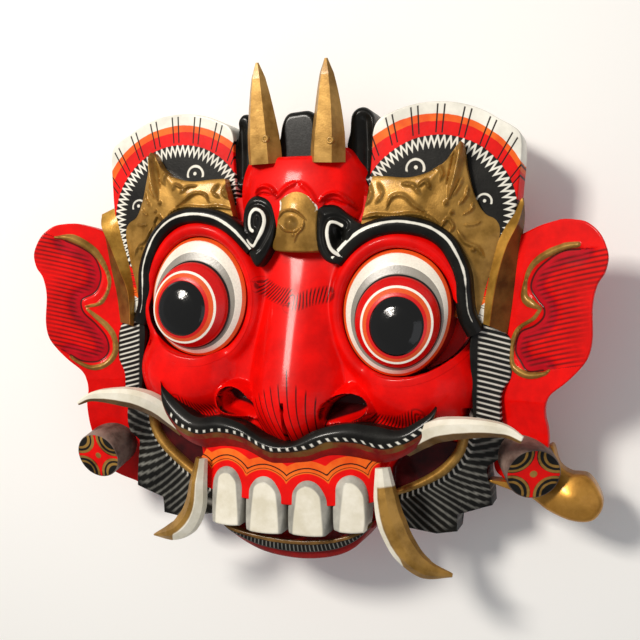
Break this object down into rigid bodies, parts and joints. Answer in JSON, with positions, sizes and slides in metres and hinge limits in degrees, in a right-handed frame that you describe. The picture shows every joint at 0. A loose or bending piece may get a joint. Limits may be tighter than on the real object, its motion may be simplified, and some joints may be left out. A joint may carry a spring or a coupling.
{
  "type": "barong mask",
  "caption": "Carved and painted wooden mask with bulging eyes, board ears, ear plugs, tusks, fangs, horns and a gilded crown, hollow at the back, lying face up",
  "frame": {"origin": "under the middle of the whole mask, on the surface that its back rim lies on", "axes": "+X to the onlooker's right, +Y to the crown, +Z out of the face; the mask lies on its back"},
  "size_m": [0.381, 0.3147, 0.0938],
  "materials": {
    "red_paint": "satin red enamel brushed over carved wood",
    "gold_paint": "dull gold paint over carved wood",
    "cream_paint": "satin cream paint over carved wood",
    "dark_paint": "satin black paint over carved wood"
  },
  "bodies": {
    "root": {"mask_body": "red_paint", "horn_left": "gold_paint", "horn_right": "gold_paint", "blade_left": "gold_paint", "blade_right": "gold_paint", "ear_left": "red_paint", "ear_right": "red_paint", "ear_plug_left": "dark_paint", "ear_plug_right": "dark_paint", "tusk_left": "cream_paint", "tusk_right": "cream_paint", "fang_left": "gold_paint", "fang_right": "gold_paint", "gold_tail": "gold_paint"}
  },
  "joints": []
}
